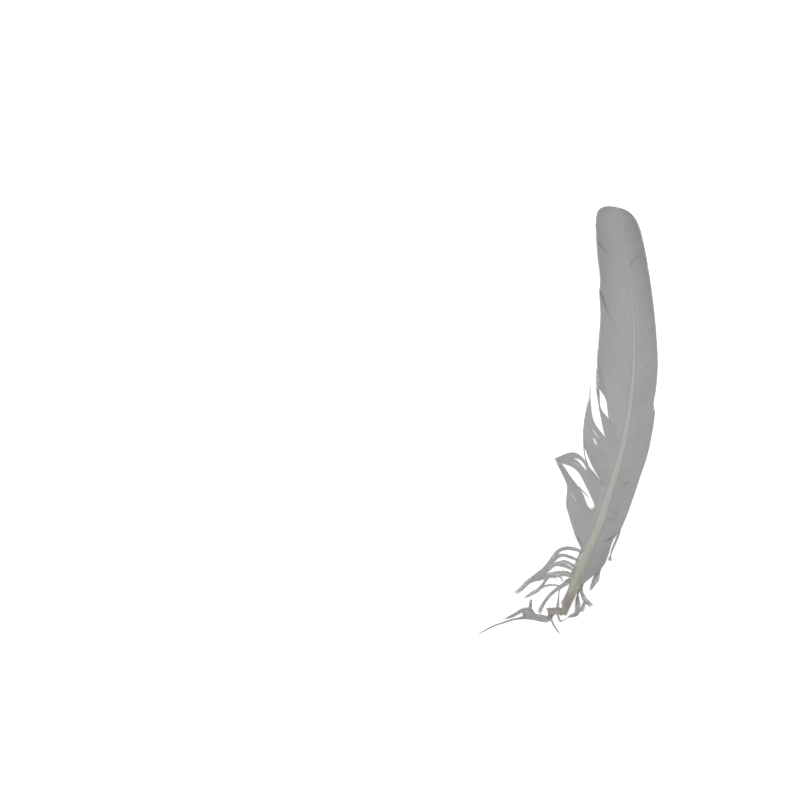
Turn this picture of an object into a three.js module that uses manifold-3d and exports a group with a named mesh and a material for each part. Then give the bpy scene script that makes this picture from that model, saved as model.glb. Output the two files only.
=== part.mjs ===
// A goose wing quill lying on a table, upper side up, +Z up, in millimetres.
// The shaft runs along Y with its tip at +Y. The narrow outer vane is on the +X side and
// the wide inner vane on the -X side, where it has split into separate locks of barbs.
// The quill and the margins of the vanes rest on z = 0. The origin is the middle of the
// space that the feather covers on the table.

import * as THREE from 'three';
import { mergeVertices } from 'three/addons/utils/BufferGeometryUtils.js';
import Module from 'manifold-3d';

// ---------------------------------------------------------------- dimensions

const VANE_THICKNESS = 0.5;
const FIT_GAP = 0.35;            // between a vane and the side of the shaft
const VANE_ROOT_HEIGHT = 0.45;   // where the barbs grow, as a part of the shaft's half depth
const VANE_DROOP = 1.7;          // power of the fall from the shaft to the margin
const STRAND_HEIGHT = 1.6;       // of a loose barb's underside, where it grows from the quill
const STRAND_REACH = 6;          // how far out from the quill it has sunk to the table
const STRAND_HALF_DEPTH = 0.5;   // at most, where a strand is wide and flat

const SHAFT_SIDES = 12;
const SHAFT_RINGS_PER_STATION = 2;
const STRAND_SIDES = 6;
const STRAND_RINGS_PER_POINT = 2;
const ROWS_PER_GUIDE = 2;
const STEPS_ALONG_BARB = 6;

// The shaft from the torn end of the quill to the tip: the place and half width of its
// outline, its half depth, and how high its underside arches over the table.
const SHAFT_STATIONS = [
  // x, y, half width, half depth, lift
  [-2.3, -97.0, 1.7, 2.05, 0],
  [0.4, -89.1, 2.6, 2.45, 0],
  [3.1, -82.9, 2.8, 2.65, 0],
  [6.1, -75.6, 2.9, 2.7, 0],
  [8.9, -68.6, 2.75, 2.6, 0.1],
  [12.4, -60.1, 2.55, 2.5, 0.5],
  [16.1, -50.1, 2.3, 2.35, 1.0],
  [19.6, -38.9, 2.1, 2.2, 1.5],
  [23.1, -28.1, 1.95, 2.05, 2.0],
  [26.4, -16.4, 1.8, 1.9, 2.4],
  [29.0, -4.6, 1.55, 1.7, 2.7],
  [31.1, 9.4, 1.3, 1.5, 2.9],
  [32.5, 22.9, 1.05, 1.25, 2.9],
  [33.0, 36.4, 0.88, 1.05, 2.7],
  [32.5, 51.4, 0.68, 0.85, 2.2],
  [30.8, 67.4, 0.55, 0.65, 1.5],
  [28.6, 78.4, 0.45, 0.5, 1.0],
  [26.6, 89.4, 0.35, 0.4, 0.5],
  [25.4, 99.4, 0.28, 0.3, 0.1],
  [24.8, 106.4, 0.22, 0.22, 0],
];

// A flap of the quill's wall, torn loose at its end.
const FLAP_LENGTH = 8.4;
const FLAP_WIDTH = 3.0;
const FLAP_THICKNESS = 0.8;
const FLAP_CENTRE = [-5.9, -95.2];
const FLAP_CURL = 0.9;

// Guide barbs, each given by the y at which it leaves the shaft and three points on its
// way to the margin. A lock of the vane is the sheet that its guide barbs span.
const OUTER_VANE = [
  [105.6, [25.1, 106.1], [25.5, 106.3], [25.9, 106.5]],
  [102.4, [26.1, 104.4], [28.1, 105.5], [30.1, 104.9]],
  [96.4, [27.6, 100.9], [30.6, 103.1], [33.3, 102.1]],
  [87.4, [29.1, 92.1], [32.9, 95.9], [36.1, 96.6]],
  [74.9, [31.9, 78.6], [35.6, 82.6], [38.7, 86.1]],
  [60.4, [34.9, 64.4], [38.1, 68.6], [41.1, 72.4]],
  [45.4, [36.9, 49.6], [40.4, 53.9], [43.0, 58.4]],
  [30.4, [37.6, 34.6], [41.4, 39.1], [44.4, 43.9]],
  [15.4, [37.4, 19.9], [41.6, 24.6], [44.9, 29.9]],
  [0.4, [36.1, 4.9], [40.6, 10.4], [44.1, 16.9]],
  [-10.6, [34.6, -6.4], [39.1, -1.1], [42.9, 5.4]],
  [-20.6, [32.6, -17.1], [37.9, -12.1], [41.9, -4.6]],
  [-30.6, [29.6, -28.4], [34.9, -24.1], [39.1, -17.4]],
  [-39.6, [26.6, -38.4], [31.6, -34.9], [35.8, -28.1]],
  [-47.6, [23.9, -47.1], [28.1, -44.4], [32.1, -38.4]],
  [-55.6, [20.6, -55.9], [24.6, -53.4], [28.4, -48.4]],
  [-62.1, [18.4, -62.4], [21.9, -59.6], [24.9, -55.1]],
  [-67.6, [15.9, -67.9], [18.9, -65.6], [21.3, -60.9]],
  [-73.1, [13.1, -73.4], [16.1, -71.4], [19.5, -68.1]],
  [-78.1, [10.9, -78.1], [13.9, -76.4], [17.1, -72.6]],
  [-82.1, [8.4, -81.1], [11.1, -78.1], [14.4, -75.6]],
];

const INNER_VANE = [
  [105.6, [24.2, 106.2], [23.8, 106.6], [23.4, 106.9]],
  [102.4, [23.4, 104.8], [21.6, 106.4], [19.6, 107.1]],
  [96.4, [22.4, 101.4], [19.1, 104.6], [16.4, 105.5]],
  [86.4, [23.4, 93.4], [18.4, 99.1], [14.6, 101.9]],
  [70.9, [24.9, 77.1], [19.6, 84.1], [14.6, 90.9]],
  [57.9, [25.9, 65.6], [20.4, 73.9], [15.3, 81.9]],
  [43.4, [26.4, 53.4], [20.7, 63.9], [16.4, 73.6]],
  [29.9, [26.1, 41.4], [20.5, 53.6], [16.0, 66.6]],
  [17.9, [25.4, 29.1], [20.4, 40.9], [16.7, 53.4]],
  [5.4, [23.9, 16.1], [19.2, 27.9], [16.0, 40.4]],
  [-6.6, [21.9, 0.4], [19.1, 10.4], [15.4, 19.4]],
];

const THREAD_LOCK = [
  [-8.1, [21.0, -0.6], [16.4, 6.1], [15.4, 16.4]],
  [-15.1, [20.1, -9.6], [16.4, 4.4], [14.6, 17.9]],
];

const UPPER_LOCK = [
  [-16.6, [19.1, -9.9], [13.1, -0.4], [10.9, 11.9]],
  [-22.6, [17.6, -15.6], [11.1, -5.6], [8.5, 1.4]],
  [-28.6, [17.1, -22.1], [11.1, -14.6], [8.0, -8.1]],
  [-34.6, [17.1, -29.9], [12.1, -21.9], [8.3, -13.1]],
];

const HOOKED_LOCK = [
  [-36.1, [15.9, -29.0], [10.4, -21.9], [3.1, -15.9]],
  [-40.1, [14.6, -33.4], [7.4, -22.6], [-2.4, -18.0]],
  [-45.1, [11.5, -36.6], [3.6, -23.1], [-6.3, -19.3]],
];

const LOWER_LOCK = [
  [-46.6, [11.1, -43.9], [6.1, -35.4], [-0.9, -26.4]],
  [-49.6, [9.1, -43.9], [2.4, -34.6], [-5.4, -21.1]],
  [-53.6, [9.1, -49.1], [2.6, -41.6], [-0.7, -30.6]],
  [-57.1, [8.6, -53.1], [2.4, -47.6], [-0.9, -39.1]],
  [-60.1, [8.1, -57.1], [3.6, -53.1], [0.6, -45.6]],
  [-63.1, [7.6, -61.1], [5.1, -58.4], [3.2, -53.9]],
  [-64.9, [7.7, -63.4], [6.7, -62.1], [5.8, -60.4]],
];

// Loose barbs: the points that each follows, with its half width, from its root out.
const MARGIN_BARB = [
  [[25.9, -56.6, 0.3], [25.1, -58.4, 0.3], [23.1, -62.7, 0.3], [22.0, -65.3, 0.35], [21.5, -67.3, 0.3],
    [21.3, -69.1, 0.65]],
];

const BASE_TUFT = [
  [[15.6, -77.0, 0.75], [15.1, -78.9, 0.95], [13.9, -80.6, 0.75], [12.3, -82.7, 0.4],
    [10.8, -84.4, 0.25]],
];

const DOWN_FAN = [
  [[5.4, -64.9, 0.65], [3.1, -63.6, 0.8], [-0.4, -63.1, 0.9], [-3.5, -64.1, 0.85], [-5.6, -66.1, 0.9],
    [-8.1, -69.4, 1], [-11.1, -72.9, 1.3], [-14.2, -75.7, 1.3], [-17.2, -78.0, 1.2],
    [-20.4, -80.3, 0.95], [-22.9, -83.1, 0.85], [-24.4, -84.8, 0.65], [-26.0, -85.3, 0.4]],
  [[3.8, -69.4, 0.6], [1.1, -68.1, 0.75], [-1.9, -67.2, 0.8], [-4.5, -67.4, 0.75], [-6.6, -68.9, 0.75],
    [-8.9, -71.4, 0.75], [-10.6, -73.4, 0.75]],
  [[2.3, -72.2, 0.4], [1.1, -71.1, 0.45], [-1.4, -70.2, 0.55], [-3.9, -70.9, 0.6], [-6.1, -71.8, 0.65],
    [-9.1, -74.0, 0.7], [-11.9, -75.6, 0.75]],
  [[1.6, -74.4, 0.3], [-0.4, -73.1, 0.35], [-2.9, -72.4, 0.4], [-5.6, -72.6, 0.45], [-8.9, -74.8, 0.6],
    [-11.1, -76.9, 0.65]],
  [[-0.1, -77.0, 0.9], [-1.6, -76.3, 0.85], [-4.9, -76.6, 0.95], [-8.4, -77.0, 1.1], [-11.4, -77.9, 1.2],
    [-14.9, -78.8, 1.1], [-17.9, -79.6, 0.8]],
  [[-8.9, -77.4, 0.45], [-11.4, -80.1, 0.5], [-12.7, -82.1, 0.55], [-15.2, -84.8, 0.7],
    [-17.4, -86.0, 0.65], [-20.4, -87.7, 0.35]],
];

const DOWN_SIDE = [
  [[-1.1, -81.1, 0.75], [-2.9, -82.3, 0.8], [-5.0, -83.6, 0.75], [-8.1, -86.5, 0.65],
    [-10.6, -89.8, 0.65], [-12.5, -92.8, 0.65], [-13.2, -94.6, 0.6]],
  [[-3.6, -82.9, 0.3], [-6.0, -82.1, 0.35], [-9.4, -82.2, 0.35]],
  [[-3.9, -83.4, 0.25], [-4.5, -87.7, 0.25], [-5.0, -90.8, 0.4], [-5.3, -92.8, 0.35]],
];

const DOWN_END = [
  [[-7.6, -98.4, 0.65], [-10.9, -99.3, 0.95], [-15.2, -99.1, 0.7], [-18.3, -98.6, 0.5],
    [-22.9, -98.5, 0.4], [-27.4, -99.2, 0.28], [-31.5, -100.5, 0.25], [-36.6, -102.3, 0.23],
    [-41.2, -104.6, 0.2], [-44.7, -107.0, 0.2]],
  [[-9.4, -98.9, 0.65], [-12.4, -97.6, 1.2], [-15.4, -96.7, 2], [-18.4, -96.0, 2.3],
    [-21.1, -95.1, 1.45], [-23.4, -94.5, 0.65], [-25.9, -95.5, 0.5], [-28.4, -97.1, 0.45],
    [-32.1, -98.9, 0.25]],
  [[-17.9, -94.6, 1.3], [-18.4, -92.3, 0.55], [-18.3, -89.8, 0.3]],
  [[-8.4, -99.1, 0.35], [-7.6, -100.9, 0.3], [-6.5, -102.5, 0.25], [-5.3, -104.6, 0.25],
    [-3.7, -106.6, 0.2]],
];

const DOWN_RIGHT_UPPER = [
  [[6.5, -84.4, 0.45], [7.3, -86.2, 0.55], [8.8, -89.3, 0.75], [10.6, -91.1, 0.7], [12.1, -92.3, 0.25]],
  [[8.9, -89.8, 0.35], [8.0, -91.8, 0.4], [7.4, -94.4, 0.6]],
];

const DOWN_RIGHT_LOWER = [
  [[5.4, -86.1, 0.25], [5.5, -88.8, 0.6], [4.7, -91.8, 1.05], [4.7, -94.6, 1.1], [3.7, -96.5, 1.1],
    [1.6, -97.6, 0.4], [-0.4, -98.6, 0.25], [-2.1, -99.4, 0.25]],
];

// ----------------------------------------------------------------- materials

const shaftHorn = { color: 0xadaea9, roughness: 0.45, metalness: 0 };
const vaneGrey = { color: 0x9e9e9c, roughness: 0.8, metalness: 0 };
const downGrey = { color: 0xa3a29f, roughness: 0.9, metalness: 0 };

// ------------------------------------------------------------------- helpers

const wasm = await Module();
wasm.setup();

// Keeps only the corners, each of them once, with the faces looking outwards.
function closedShell(geometry) {
  geometry.deleteAttribute('normal');
  geometry.deleteAttribute('uv');
  const shell = mergeVertices(geometry);
  if (signedVolume(shell) < 0) {
    const index = shell.index.array;
    for (let i = 0; i < index.length; i += 3) {
      [index[i], index[i + 1]] = [index[i + 1], index[i]];
    }
  }
  return shell;
}

function signedVolume(shell) {
  const index = shell.index.array;
  const [a, b, c] = [new THREE.Vector3(), new THREE.Vector3(), new THREE.Vector3()];
  let volume = 0;
  for (let i = 0; i < index.length; i += 3) {
    a.fromBufferAttribute(shell.attributes.position, index[i]);
    b.fromBufferAttribute(shell.attributes.position, index[i + 1]);
    c.fromBufferAttribute(shell.attributes.position, index[i + 2]);
    volume += a.dot(b.cross(c)) / 6;
  }
  return volume;
}

// Moves every corner of a primitive to where place(corner) says.
function reshape(geometry, place) {
  const position = geometry.attributes.position;
  for (let i = 0; i < position.count; i += 1) {
    const corner = new THREE.Vector3().fromBufferAttribute(position, i);
    position.setXYZ(i, ...place(corner));
  }
  return closedShell(geometry);
}

// Joins closed shells that overlap into one.
function joined(shells) {
  const solids = shells.map((shell) => new wasm.Manifold(new wasm.Mesh({
    numProp: 3,
    vertProperties: shell.attributes.position.array,
    triVerts: new Uint32Array(shell.index.array),
  })));
  const mesh = solids.reduce((whole, solid) => whole.add(solid)).getMesh();
  const geometry = new THREE.BufferGeometry();
  geometry.setAttribute('position', new THREE.BufferAttribute(mesh.vertProperties, 3));
  geometry.setIndex(new THREE.BufferAttribute(mesh.triVerts, 1));
  return geometry;
}

// The value of a list of numbers at a place between its entries.
function between(values, place) {
  const last = values.length - 2;
  const entry = Math.min(Math.max(Math.floor(place), 0), last);
  return THREE.MathUtils.lerp(values[entry], values[entry + 1], place - entry);
}

// --------------------------------------------------------------------- shaft

const SHAFT_YS = SHAFT_STATIONS.map((station) => station[1]);

// x, half width, half depth and lift of the shaft at a given y.
function shaftAt(y) {
  let entry = SHAFT_YS.findIndex((stationY) => stationY > y) - 1;
  if (entry === -2) entry = SHAFT_YS.length - 2;
  entry = Math.max(entry, 0);
  const place = entry + (y - SHAFT_YS[entry]) / (SHAFT_YS[entry + 1] - SHAFT_YS[entry]);
  const [x, halfWidth, halfDepth, lift] = [0, 2, 3, 4].map((column) => (
    between(SHAFT_STATIONS.map((station) => station[column]), place)));
  return { x, halfWidth, halfDepth, lift };
}

// A stack of level-sided sections, each with a flat side on the table.
function shaftShell() {
  const rings = (SHAFT_STATIONS.length - 1) * SHAFT_RINGS_PER_STATION;
  const reach = 1 / Math.cos(Math.PI / SHAFT_SIDES);
  const section = new THREE.CylinderGeometry(reach, reach, 1, SHAFT_SIDES, rings, false,
    Math.PI / SHAFT_SIDES);
  return reshape(section, (corner) => {
    const y = between(SHAFT_YS, (corner.y + 0.5) * (SHAFT_YS.length - 1));
    const at = shaftAt(y);
    return [at.x + at.halfWidth * corner.x, y, at.lift + at.halfDepth * (1 + corner.z)];
  });
}

// The torn flap starts inside the quill and curls up a little towards its end.
function flapShell() {
  const sheet = new THREE.BoxGeometry(FLAP_LENGTH, FLAP_WIDTH, FLAP_THICKNESS, 5, 2, 1);
  return reshape(sheet, (corner) => {
    const out = 0.5 - corner.x / FLAP_LENGTH;
    const curl = FLAP_CURL * out * out + 0.15 * Math.abs(corner.y);
    return [FLAP_CENTRE[0] + corner.x, FLAP_CENTRE[1] + corner.y,
      FLAP_THICKNESS / 2 + FIT_GAP + corner.z + curl];
  });
}

// --------------------------------------------------------------------- vanes

// A sheet spanned by guide barbs, on the +X side of the shaft or the -X side. Its root
// follows the side of the shaft, and its margin lies on the table.
function vaneSheet(guides, side) {
  const roots = guides.map(([y]) => y);
  const lines = [1, 2, 3].map((point) => new THREE.CatmullRomCurve3(
    guides.map((guide) => new THREE.Vector3(...guide[point], 0))));
  const rows = (guides.length - 1) * ROWS_PER_GUIDE;
  const sheet = new THREE.BoxGeometry(1, 1, 1, STEPS_ALONG_BARB, rows, 1);
  return reshape(sheet, (corner) => {
    const along = corner.x + 0.5;
    const row = corner.y + 0.5;
    const rootY = between(roots, row * (guides.length - 1));
    const shaft = shaftAt(rootY);
    const root = new THREE.Vector3(shaft.x + side * (shaft.halfWidth + FIT_GAP), rootY, 0);
    const barb = new THREE.CatmullRomCurve3([root, ...lines.map((line) => line.getPoint(row))]);
    const point = barb.getPoint(along);
    const rootZ = shaft.lift + shaft.halfDepth * (1 + VANE_ROOT_HEIGHT) - VANE_THICKNESS / 2;
    const fall = along ** VANE_DROOP;
    const middle = THREE.MathUtils.lerp(Math.max(rootZ, VANE_THICKNESS / 2), VANE_THICKNESS / 2, fall);
    return [point.x, point.y, middle + VANE_THICKNESS * corner.z];
  });
}

// --------------------------------------------------------------- loose barbs

// A strand along its points, round or flat. Close to the quill it hangs above the table.
function strandShell(points) {
  const route = new THREE.CatmullRomCurve3(points.map(([x, y]) => new THREE.Vector3(x, y, 0)));
  const halfWidths = points.map((point) => point[2]);
  const rings = (points.length - 1) * STRAND_RINGS_PER_POINT;
  const rod = new THREE.CylinderGeometry(1, 1, 1, STRAND_SIDES, rings);
  return reshape(rod, (corner) => {
    const along = corner.y + 0.5;
    const centre = route.getPoint(along);
    const ahead = route.getTangent(along);
    const sideways = new THREE.Vector3(-ahead.y, ahead.x, 0).normalize();
    const half = between(halfWidths, along * (points.length - 1));
    const shaft = shaftAt(centre.y);
    const away = Math.abs(centre.x - shaft.x) - shaft.halfWidth;
    const lift = STRAND_HEIGHT * Math.max(0, 1 - Math.max(0, away) / STRAND_REACH) ** 2;
    centre.addScaledVector(sideways, half * corner.x);
    const halfDepth = Math.min(half, STRAND_HALF_DEPTH);
    return [centre.x, centre.y, lift + halfDepth * (1 + corner.z)];
  });
}

function tuft(strands) {
  return joined(strands.map(strandShell));
}

// ------------------------------------------------------------------ assembly

const feather = new THREE.Group();

function addPiece(name, geometry, finish) {
  const piece = new THREE.Mesh(geometry, new THREE.MeshStandardMaterial(finish));
  piece.name = name;
  feather.add(piece);
}

addPiece('shaft', joined([shaftShell(), flapShell()]), shaftHorn);
addPiece('outer_vane', vaneSheet(OUTER_VANE, 1), vaneGrey);
addPiece('inner_vane', vaneSheet(INNER_VANE, -1), vaneGrey);
addPiece('inner_lock_thread', vaneSheet(THREAD_LOCK, -1), vaneGrey);
addPiece('inner_lock_upper', vaneSheet(UPPER_LOCK, -1), vaneGrey);
addPiece('inner_lock_hooked', vaneSheet(HOOKED_LOCK, -1), vaneGrey);
addPiece('inner_lock_lower', vaneSheet(LOWER_LOCK, -1), vaneGrey);
addPiece('outer_loose_barb', tuft(MARGIN_BARB), vaneGrey);
addPiece('outer_base_tuft', tuft(BASE_TUFT), downGrey);
addPiece('down_fan', tuft(DOWN_FAN), downGrey);
addPiece('down_side', tuft(DOWN_SIDE), downGrey);
addPiece('down_end', tuft(DOWN_END), downGrey);
addPiece('down_right_upper', tuft(DOWN_RIGHT_UPPER), downGrey);
addPiece('down_right_lower', tuft(DOWN_RIGHT_LOWER), downGrey);

export default feather;
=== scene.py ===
import math
from collections import namedtuple

import bmesh
import bpy
import numpy as np
from bpy.props import FloatProperty, FloatVectorProperty, PointerProperty
from bpy.types import Operator, Panel, PropertyGroup
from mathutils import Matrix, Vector


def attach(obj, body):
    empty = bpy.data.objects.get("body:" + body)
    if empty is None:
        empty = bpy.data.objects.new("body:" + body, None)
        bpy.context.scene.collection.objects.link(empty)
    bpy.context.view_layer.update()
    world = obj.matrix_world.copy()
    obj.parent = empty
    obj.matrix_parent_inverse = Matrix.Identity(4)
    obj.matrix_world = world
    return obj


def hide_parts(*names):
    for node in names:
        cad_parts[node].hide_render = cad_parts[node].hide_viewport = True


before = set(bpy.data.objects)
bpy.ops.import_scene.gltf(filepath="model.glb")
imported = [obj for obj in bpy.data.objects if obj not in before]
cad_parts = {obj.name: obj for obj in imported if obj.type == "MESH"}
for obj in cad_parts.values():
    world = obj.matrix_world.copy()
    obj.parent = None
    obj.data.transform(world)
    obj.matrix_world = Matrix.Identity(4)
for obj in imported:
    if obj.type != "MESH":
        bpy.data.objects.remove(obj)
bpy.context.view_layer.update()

# A goose wing quill lying on a table, upper side up. The shaft runs along Y with its tip at
# +Y. The narrow outer vane is on the +X side, and the wide inner vane, which has split into
# locks, is on the -X side. The vanes are made barb by barb and the down fibre by fibre,
# along the guide lines of the solids that they stand for. The tables and named sizes are in
# millimetres, and the meshes and settings in metres. Tones and shades are factors of a
# piece's colour.

bl_info = {
    "name": "Goose Wing Quill",
    "version": (1, 0, 0),
    "blender": (4, 5, 0),
    "location": "3D View > Sidebar > Quill",
    "description": "Makes a split and downy goose wing quill barb by barb",
    "category": "Add Mesh",
}

MM = 0.001
BODY = "root"

# ------------------------------------------------------------------ the shaft

# From the torn end of the quill to the tip: the place and half width of the outline, the
# half depth, and how high the underside arches over the table.
SHAFT_STATIONS = (
    # x, y, half width, half depth, lift
    (-2.3, -97.0, 1.7, 2.05, 0),
    (0.4, -89.1, 2.6, 2.45, 0),
    (3.1, -82.9, 2.8, 2.65, 0),
    (6.1, -75.6, 2.9, 2.7, 0),
    (8.9, -68.6, 2.75, 2.6, 0.1),
    (12.4, -60.1, 2.55, 2.5, 0.5),
    (16.1, -50.1, 2.3, 2.35, 1.0),
    (19.6, -38.9, 2.1, 2.2, 1.5),
    (23.1, -28.1, 1.95, 2.05, 2.0),
    (26.4, -16.4, 1.8, 1.9, 2.4),
    (29.0, -4.6, 1.55, 1.7, 2.7),
    (31.1, 9.4, 1.3, 1.5, 2.9),
    (32.5, 22.9, 1.05, 1.25, 2.9),
    (33.0, 36.4, 0.88, 1.05, 2.7),
    (32.5, 51.4, 0.68, 0.85, 2.2),
    (30.8, 67.4, 0.55, 0.65, 1.5),
    (28.6, 78.4, 0.45, 0.5, 1.0),
    (26.6, 89.4, 0.35, 0.4, 0.5),
    (25.4, 99.4, 0.28, 0.3, 0.1),
    (24.8, 106.4, 0.22, 0.22, 0),
)
SHAFT_SIDES = 40
SHAFT_RINGS = 170
LINE_SAMPLES = 400          # of the curve through the stations
BARREL_END = -66.0          # where the round quill turns into the squarer ridged shaft
RIDGED_FROM = -50.0
SQUARENESS = 0.22           # 0 is round, 1 is square
GROOVE_DEPTH = 0.35         # under the ridged shaft, as a part of its half depth
GROOVE_SPREAD = 0.5         # in radians
WOBBLE = (0.012, 6.0)       # unevenness of the half width, as a part of it, and its step
# Painted light on the shaft's +X side and painted shade on its -X side, which even out the soft
# box's light from -X.
BARREL_PAINTED_FLANK_LIGHT = 0.05         # how much lighter than its middle the quill's +X side is painted, and its -X side darker
RIDGED_PAINTED_FLANK_LIGHT = 0.11         # and how much more the ridged shaft's is
HOLLOW_STEPS = (0.1, 0.35, 0.55)    # from the torn rim inwards, as parts of its depth
HOLLOW_WITHIN = 0.95        # part of the radius within which only the hollow has vertices
# Painted shade inside the hollow torn end: the tone of its inner faces.
HOLLOW_PAINTED_SHADE = 0.5
TORN_WAVES = (2, 3, 5, 9, 14)       # how often each wave of the torn rim goes round it
TORN_HEIGHTS = (0.2, 0.5)   # range of the waves' heights, as parts of the raggedness
TORN_REACH = 2.5            # how far from the rim it is uneven
SHAFT_SEED = 5

# The flap of the quill's wall that is torn loose at its end.
FLAP_LENGTH = 9.3
FLAP_WIDTH = 3.2
FLAP_SLANT = 1.5            # how much shorter its lower edge is than its upper one
FLAP_FLARE = 0.7            # how much wider its free end is
FLAP_CENTRE = (-6.35, -95.2)
FLAP_HEIGHT = 0.75
FLAP_CURL = 0.8             # how far its free end curls up
FLAP_CUP = 0.4              # how far its long edges do
FLAP_EDGE = (0.9, 0.7)      # unevenness of its long edges: part of the raggedness, and step
FLAP_END = (0.8, 0.5)       # and that of its free end
FLAP_END_FROM = 0.6         # part of its length at which that begins
FLAP_WAVE = (0.12, 1.6)     # waviness of its face, and its step
FLAP_TONE = 1.2
FLAP_RIM_SHADE = 0.4        # how much darker its long edges are
FLAP_RIM_FROM = 0.72        # part of its half width at which that begins
FLAP_GRID = (36, 14)
TEMPLATE_WALL = 0.02        # of its flat template, and only tells its two faces apart

# Where the shaft's colours give way to the next, from the torn end to the tip.
END_TO_BARREL = (-94, -78)
BARREL_TO_HORN = (-74, -50)
HORN_TO_TIP = (10, 75)
COLOUR_WANDER = 8           # how far the places of the first two wander
# Old stains on the quill: the middle, the radius, the strength, and the colour setting.
STAINS = (
    ((5.9, -79.0, 5.0), 4.2, 0.3, "stain_colour"),
    ((2.0, -87.2, 4.0), 2.8, 0.6, "mould_colour"),
    ((-0.4, -88.7, 4.6), 3.3, 0.8, "stain_colour"),
    ((-0.3, -92.2, 4.2), 2.9, 0.55, "stain_colour"),
    ((-9.6, -95.2, 1.0), 3.5, 0.45, "stain_colour"),
    ((-3.4, -95.6, 1.5), 3.2, 0.6, "mould_colour"),
)
STAIN_WANDER = 2
STAIN_CORE = 0.2            # part of a stain's radius over which it is at its strongest

# ------------------------------------------------------------------ the vanes

# Guide barbs, each given by the y at which it leaves the shaft and three points on its
# way to the margin. A lock is the sheet that its guide barbs span.
OUTER_GUIDES = (
    (106.0, (25.0, 106.5), (25.0, 106.7), (25.1, 107.0)),
    (105.2, (25.2, 106.0), (25.6, 106.3), (26.0, 106.7)),
    (102.4, (26.1, 104.4), (28.1, 105.5), (30.1, 104.9)),
    (96.4, (27.6, 100.9), (30.6, 103.1), (33.3, 102.1)),
    (87.4, (29.1, 92.1), (32.9, 95.9), (36.1, 96.6)),
    (74.9, (31.9, 78.6), (35.6, 82.6), (38.7, 86.1)),
    (60.4, (34.9, 64.4), (38.1, 68.6), (41.1, 72.4)),
    (45.4, (36.9, 49.6), (40.4, 53.9), (43.0, 58.4)),
    (30.4, (37.6, 34.6), (41.4, 39.1), (44.4, 43.9)),
    (15.4, (37.4, 19.9), (41.6, 24.6), (45.2, 29.9)),
    (0.4, (36.1, 4.9), (40.6, 10.4), (44.4, 16.9)),
    (-6.6, (35.2, -2.3), (39.7, 3.0), (43.1, 7.9)),
    (-10.6, (34.6, -6.4), (39.2, -1.1), (43.8, 4.6)),
    (-20.6, (32.6, -17.1), (38.0, -12.1), (42.6, -4.6)),
    (-30.6, (29.6, -28.4), (35.0, -24.1), (39.9, -17.6)),
    (-39.6, (26.6, -38.4), (31.6, -34.9), (36.3, -28.3)),
    (-47.6, (23.9, -47.1), (28.2, -44.4), (32.9, -38.6)),
    (-55.6, (20.6, -55.9), (24.8, -53.3), (29.1, -48.9)),
    (-62.1, (18.4, -62.4), (22.2, -59.6), (26.4, -54.7)),
    (-63.4, (17.9, -63.6), (21.3, -61.2), (24.1, -56.9)),
    (-67.6, (15.9, -67.9), (18.9, -65.7), (22.2, -61.2)),
    (-73.1, (13.1, -73.4), (16.3, -71.5), (20.3, -67.8)),
    (-78.1, (10.9, -78.1), (14.1, -76.3), (18.0, -72.5)),
    (-82.1, (8.4, -80.9), (10.9, -77.8), (14.4, -75.6)),
)
INNER_GUIDES = (
    (106.0, (24.7, 106.5), (24.6, 106.9), (24.5, 107.3)),
    (105.2, (24.2, 106.2), (23.8, 106.7), (23.1, 107.3)),
    (102.4, (23.4, 104.8), (21.6, 106.4), (19.2, 107.4)),
    (96.4, (22.4, 101.4), (19.1, 104.6), (15.6, 105.9)),
    (86.4, (23.4, 93.4), (18.4, 99.1), (14.0, 102.0)),
    (70.9, (24.9, 77.1), (19.6, 84.1), (14.0, 91.0)),
    (57.9, (25.9, 65.6), (20.4, 73.9), (14.6, 82.0)),
    (43.4, (26.4, 53.4), (20.7, 63.9), (15.7, 73.4)),
    (29.9, (26.1, 41.4), (20.5, 53.6), (15.8, 66.8)),
    (28.4, (26.1, 40.0), (20.4, 52.1), (15.5, 65.4)),
    (17.9, (25.4, 29.1), (20.4, 40.9), (16.1, 53.4)),
    (5.4, (23.9, 16.1), (19.2, 27.9), (15.2, 40.4)),
    (-1.0, (22.4, 8.2), (18.9, 19.6), (14.4, 30.0)),
    (-7.8, (20.7, 0.4), (18.8, 10.9), (15.4, 16.4)),
)
THREAD_GUIDES = (
    (-6.9, (20.8, 0.5), (16.5, 6.3), (15.9, 15.1)),
    (-16.6, (19.3, -9.5), (16.0, 3.2), (13.9, 17.4)),
)
UPPER_GUIDES = (
    (-15.2, (19.5, -9.2), (13.0, -0.5), (11.0, 14.4)),
    (-22.6, (17.6, -15.6), (11.1, -5.6), (8.1, 1.4)),
    (-28.6, (17.0, -22.1), (11.1, -14.6), (7.4, -8.6)),
    (-35.8, (15.9, -29.3), (11.8, -22.0), (8.4, -13.8)),
)
HOOKED_GUIDES = (
    (-34.4, (12.5, -25.4), (3.4, -16.0), (-6.6, -18.7)),
    (-38.3, (10.5, -26.6), (4.5, -19.7), (-6.3, -19.0)),
    (-42.0, (11.4, -31.4), (4.7, -21.9), (-6.2, -19.7)),
    (-47.0, (10.6, -36.2), (3.8, -24.3), (-6.0, -20.4)),
)
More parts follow.
